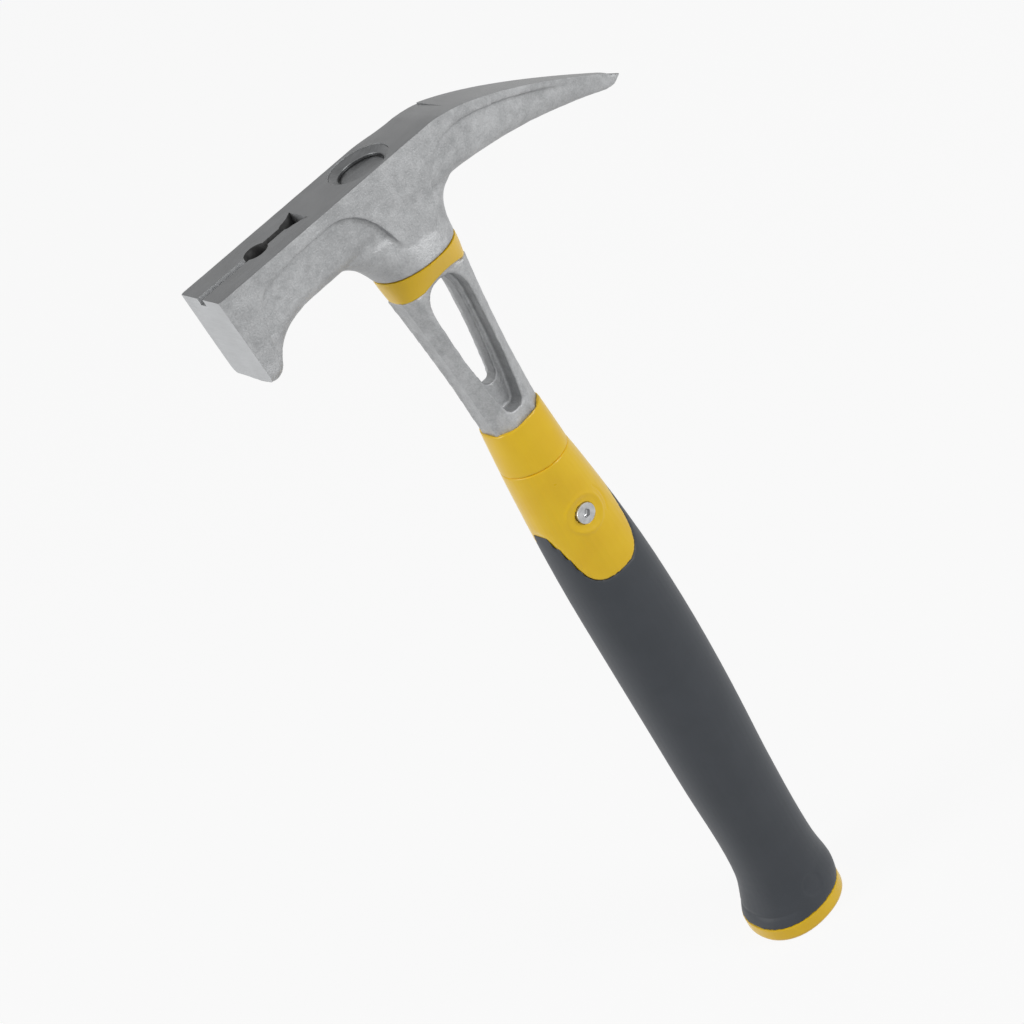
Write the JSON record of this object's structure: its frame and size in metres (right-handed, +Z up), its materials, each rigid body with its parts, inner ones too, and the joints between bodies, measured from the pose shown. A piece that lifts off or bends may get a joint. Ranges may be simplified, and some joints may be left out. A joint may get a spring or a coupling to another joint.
{
  "type": "roofing pick hammer",
  "caption": "One-hand steel hammer with a square striking face, a curved pick, a nail slot and magnet in its top, an open-frame shank and a soft grip.",
  "frame": {"origin": "centre of the flat of the butt cap, which the hammer can stand on", "axes": "+Z up the handle to the head, +X towards the pick, -X towards the striking face, -Y the side of the screw's head"},
  "size_m": [0.1551, 0.034, 0.322],
  "materials": {
    "forged_steel": "bead-blasted forged steel, matt silver grey",
    "ground_steel": "ground steel, fine lines along the head",
    "magnet": "dark plated magnet",
    "yellow_plastic": "smooth yellow moulding, half gloss",
    "slate_rubber": "soft slate-grey grip, satin",
    "screw_steel": "zinc-plated steel, dull"
  },
  "bodies": {
    "root": {"head": "forged_steel", "peening_washer": "ground_steel", "nail_magnet": "magnet", "shank": "forged_steel", "collar_ring": "yellow_plastic", "upper_sleeve": "yellow_plastic", "handle_core": "yellow_plastic", "soft_grip": "slate_rubber", "end_cap": "yellow_plastic", "handle_screw": "screw_steel", "screw_nut": "screw_steel"}
  },
  "joints": []
}
